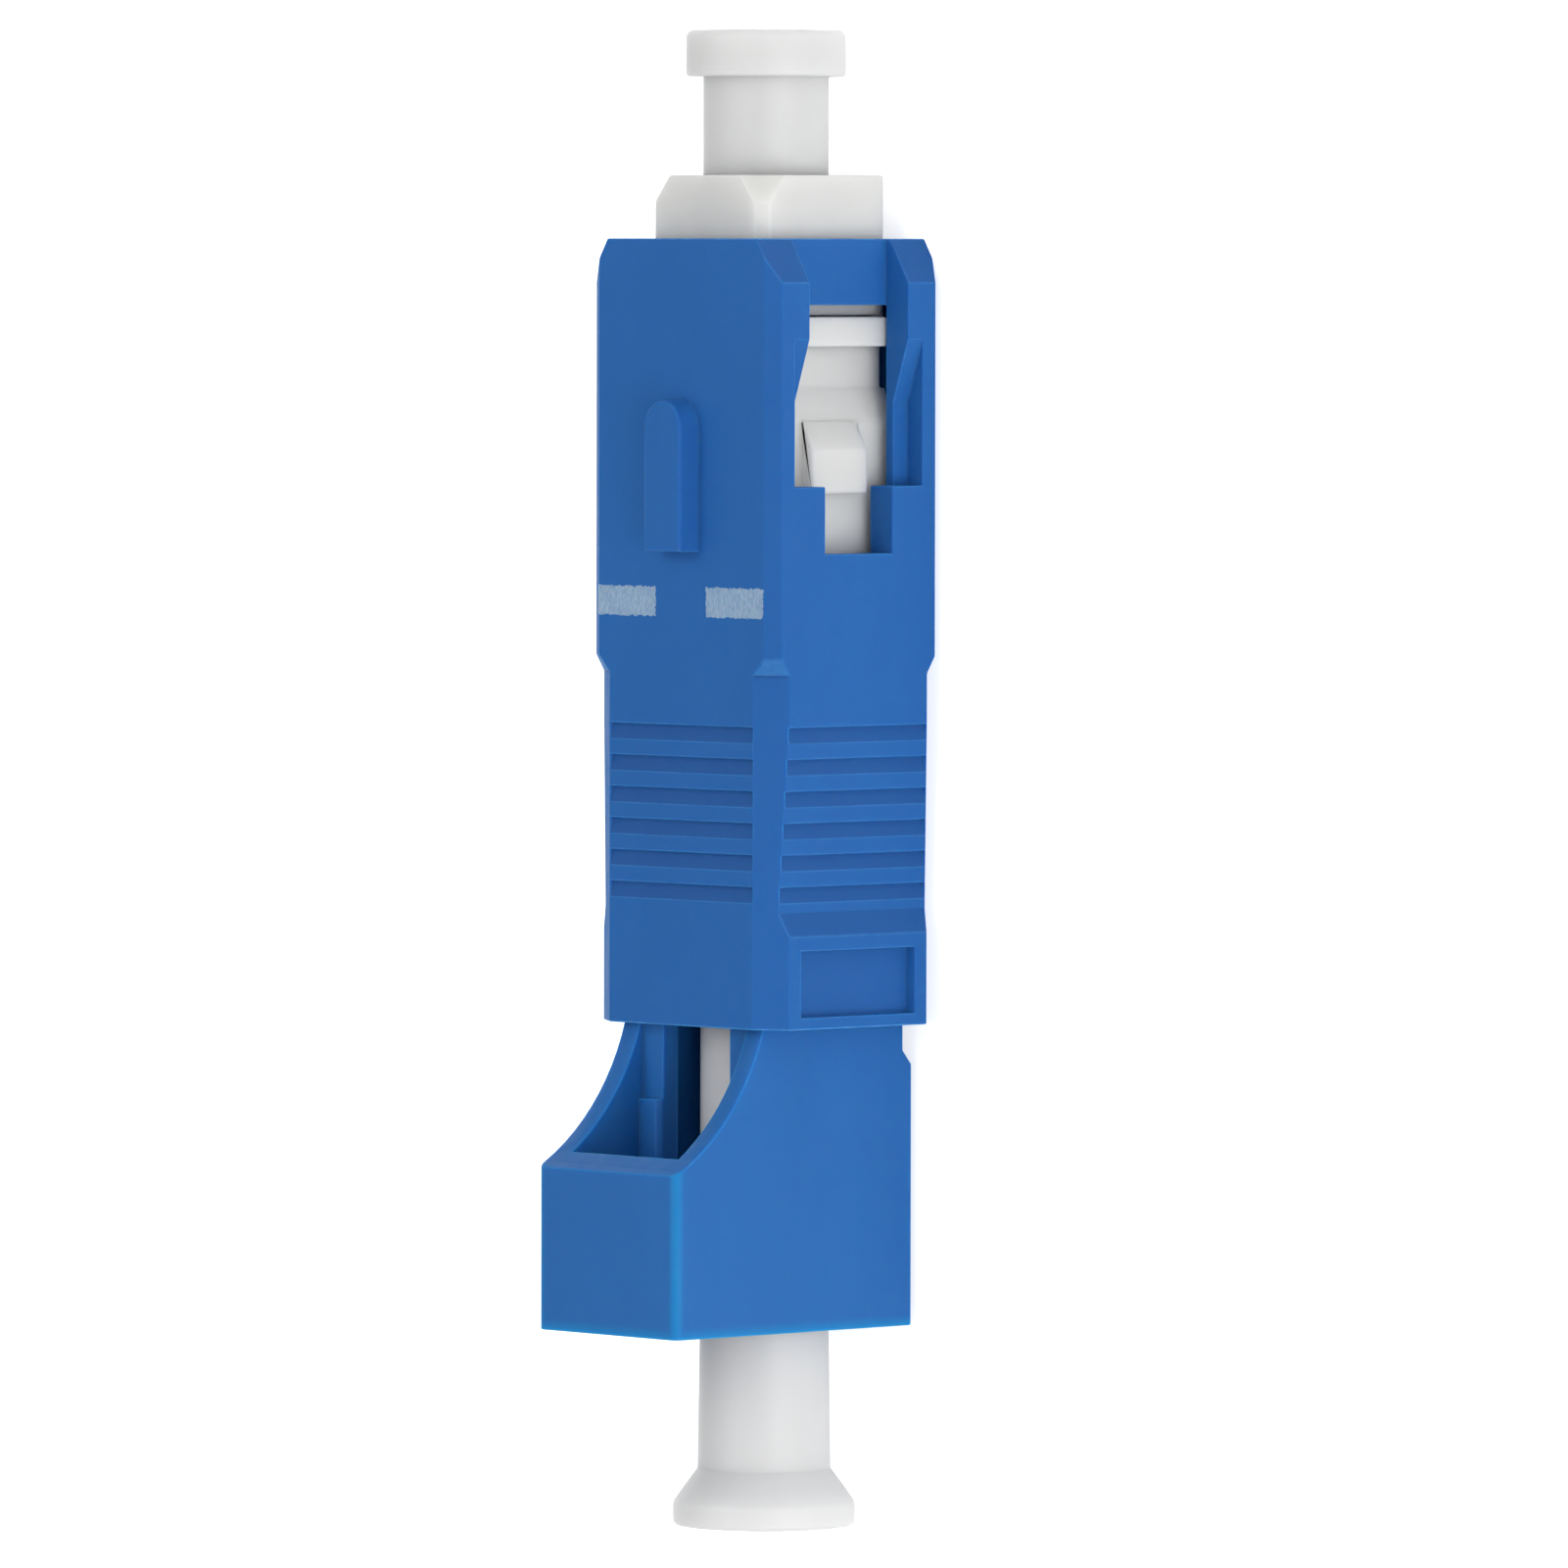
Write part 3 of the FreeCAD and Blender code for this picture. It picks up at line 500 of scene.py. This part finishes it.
# %% Soften housing, socket and frame
softened("sc_outer_housing", "outer_housing", housing_blue, 0.045 * MM,
         reshape_grip, housing_tones)
softened("lc_socket_body", "core", socket_blue, 0.05 * MM)
softened("sc_plug_frame", "core", frame_white, 0.07 * MM)

# %% [markdown]
# ## Dust caps
#
# Both caps are turned shapes: half an outline spun about the optical axis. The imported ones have
# coarse facets, so they are spun again with 96 steps and a small arc at each rim. Smooth shading
# alone would leave their silhouettes faceted.

# %% Helpers for turned caps
AXIS_HEIGHT = 3.7 * MM          # the optical axis runs along X at this height
STEPS_ROUND = 96
STEPS_ARC = 5


def rounded_outline(corners):
    """Corners (x, r, radius) in millimetres; a radius above zero turns the corner into an arc."""
    points = []
    for i, (x, r, radius) in enumerate(corners):
        here = Vector((x, r))
        if radius == 0:
            points.append(here)
            continue
        before = (Vector(corners[i - 1][:2]) - here).normalized()
        after = (Vector(corners[i + 1][:2]) - here).normalized()
        half = before.angle(after) / 2
        middle = here + (before + after).normalized() * radius / math.sin(half)
        start = (here + before * radius / math.tan(half) - middle).normalized()
        end = (here + after * radius / math.tan(half) - middle).normalized()
        for step in range(STEPS_ARC + 1):
            points.append(middle + start.slerp(end, step / STEPS_ARC).normalized() * radius)
    return points


def spun(node, body, corners):
    """A closed turned shape about the optical axis, in the place of a packed cap."""
    bm = bmesh.new()
    rim = [bm.verts.new((p.x * MM, 0, AXIS_HEIGHT + p.y * MM)) for p in rounded_outline(corners)]
    edges = [bm.edges.new((a, b)) for a, b in zip(rim, rim[1:])]
    bmesh.ops.spin(bm, geom=rim + edges, cent=(0, 0, AXIS_HEIGHT), axis=(1, 0, 0),
                   angle=2 * math.pi, steps=STEPS_ROUND, use_merge=True, use_duplicate=False)
    bmesh.ops.remove_doubles(bm, verts=bm.verts, dist=0.001 * MM)
    bmesh.ops.recalc_face_normals(bm, faces=bm.faces)
    obj = finished(node + "_turned", bm, body, cap_plastic, node)
    obj.data.set_sharp_from_angle(angle=math.radians(40))


# %% [markdown]
# ## The two outlines
#
# The SC cap is a thimble: a thick flange for the fingers and a sleeve that slides over the
# ferrule. The LC cap is a plug: a knob that narrows to a stem, with a hollow end that goes into
# the port. Each outline starts on the axis, goes over the outside and comes back through the
# hollow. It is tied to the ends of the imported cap, so the new one fills exactly the same box.

# %% Spin the two dust caps
low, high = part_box("sc_dust_cap")
top, tip = high.x / MM, low.x / MM
flange_back, hollow = top - 1.5, top - 2.68
spun("sc_dust_cap", "sc_cap",
     [(top, 0, 0), (top, 2.598, 0.22), (flange_back, 2.598, 0.12), (flange_back, 2.04, 0.06),
      (tip, 2.03, 0.1), (tip, 1.27, 0), (hollow, 1.27, 0.1), (hollow, 0, 0)])

low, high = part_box("lc_dust_cap")
end, tip = low.x / MM, high.x / MM
at_mouth, hollow = -17.81, -17.86
spun("lc_dust_cap", "lc_cap",
     [(end, 0, 0), (end, 2.968, 0.16), (end + 0.75, 2.968, 0.4), (end + 1.13, 2.7, 0.3),
      (end + 1.85, 2.17, 0.15), (at_mouth, 2.1, 0.05), (tip, 2.09, 0.15), (tip, 1.48, 0.05),
      (hollow, 1.48, 0.1), (hollow, 0, 0)])

# %% [markdown]
# ## The pieces inside
#
# The metal, ceramic and glass pieces already have their true shape, so each keeps its packed
# mesh and only changes its finish.

# %% Dress the pieces inside
for node, material in [("sc_ferrule", zirconia), ("lc_ferrule", zirconia),
                       ("split_sleeve", zirconia), ("ferrule_flange", nickel_plate),
                       ("stop_ring", nickel_plate), ("sleeve_holder", nickel_plate),
                       ("ferrule_spring", spring_steel), ("fibre_stub", glass_fibre)]:
    dress(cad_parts[node], material)
    print(node, "is now", material.name)

# %% [markdown]
# ## Floor
#
# The adapter lies on white paper. A floor that is only lit would come out a soft grey, and more
# light would burn out the caps. So the paper keeps the adapter's shadow, and adds a little glow
# that only the camera, reflections and glass see: it lifts the paper to the clean white of a
# catalogue picture without adding light to the adapter.

# %% Paper floor
PAPER_CLOUD = 25 * MM           # faint unevenness of the sheet
PAPER_GLOW = 0.6
FLOOR_HALF = 1.5                # half the floor's side, in metres

paper, tree, shader, place = new_finish(
    "white_paper", Roughness=1.0, Specular_IOR_Level=0.0, Emission_Color=colour("FFFFFF"))
fibres = add(tree, "TexNoise", Vector=place, Scale=1 / PAPER_CLOUD, Detail=2)
tint = add(tree, "Mix", {"data_type": "RGBA"}, Factor=fibres,
           A=colour("FAFAFA"), B=colour("FCFCFC"))
tree.links.new(tint.outputs[2], shader.inputs["Base Color"])
rays = add(tree, "LightPath").outputs
shiny = add(tree, "Math", {"operation": "MAXIMUM"},
            Value=[rays["Is Glossy Ray"], rays["Is Transmission Ray"]])
seen = add(tree, "Math", {"operation": "MAXIMUM"}, Value=[rays["Is Camera Ray"], shiny])
lift = add(tree, "MapRange", Value=seen, To_Min=0.0, To_Max=PAPER_GLOW)
tree.links.new(lift.outputs["Result"], shader.inputs["Emission Strength"])

bm = bmesh.new()
bmesh.ops.create_grid(bm, x_segments=1, y_segments=1, size=FLOOR_HALF)
floor_mesh = bpy.data.meshes.new("floor")
bm.to_mesh(floor_mesh)
bm.free()
floor = bpy.data.objects.new("floor", floor_mesh)
bpy.context.scene.collection.objects.link(floor)
dress(floor, paper)
print("paper floor,", 2 * FLOOR_HALF, "m wide")

# %% [markdown]
# ## Room
#
# A white room gives soft light from everywhere, which is what fills the shadows in a catalogue
# picture. A world colour does the same without any walls.

# %% White room
room = bpy.data.worlds.new("white_room")
bpy.context.scene.world = room
room.use_nodes = True
background = room.node_tree.nodes["Background"]
background.inputs["Color"].default_value = colour("FFFFFF")
background.inputs["Strength"].default_value = 0.55
print("room strength:", round(background.inputs["Strength"].default_value, 2))

# %% [markdown]
# ## Lights
#
# Two large softboxes shape the adapter. The one overhead gives the key face its level, and a
# second one low on the right of the picture makes the window face the brighter of the two.
# Small lamps would draw hard shadows, which the photograph doesn't have.

# %% Softboxes
def softbox(name, place, size, power):
    """A square light at a place in metres, turned to the adapter."""
    light = bpy.data.lights.new(name, "AREA")
    light.size = size
    light.energy = power
    obj = bpy.data.objects.new(name, light)
    obj.location = place
    obj.rotation_mode = "QUATERNION"
    obj.rotation_quaternion = Vector(place).to_track_quat("Z", "Y")
    bpy.context.scene.collection.objects.link(obj)
    print(name, "gives", power, "W from", size, "m")


softbox("overhead_softbox", (0.12, 0.05, 0.55), 0.45, 1.25)
softbox("side_softbox", (-0.09, -0.42, 0.10), 0.30, 1.3)

# %% [markdown]
# ## Camera
#
# The photograph looks down on the long corner between key face and window face, with the
# adapter upright in the picture. A camera could be turned by eye, but matching many corners at
# once needs numbers, so its axes and place were worked out from the housing's corners.

# %% Camera
camera_data = bpy.data.cameras.new("camera")
camera_data.sensor_width = 36
camera_data.lens = 327.5
camera_data.clip_start, camera_data.clip_end = 0.01, 10
camera = bpy.data.objects.new("camera", camera_data)
bpy.context.scene.collection.objects.link(camera)
right = Vector((0.001621, -0.674448, -0.738321))
up = Vector((0.999288, 0.028932, -0.024234))
back = Vector((0.037706, -0.737755, 0.674014))
turn = Matrix((right, up, back)).transposed().to_4x4()
camera.matrix_world = Matrix.Translation(Vector((17.336, -343.011, 316.237)) * MM) @ turn
bpy.context.scene.camera = camera
bpy.context.scene.view_settings.view_transform = "Standard"
print(f"camera {camera.matrix_world.translation.length:.3f} m from the origin")
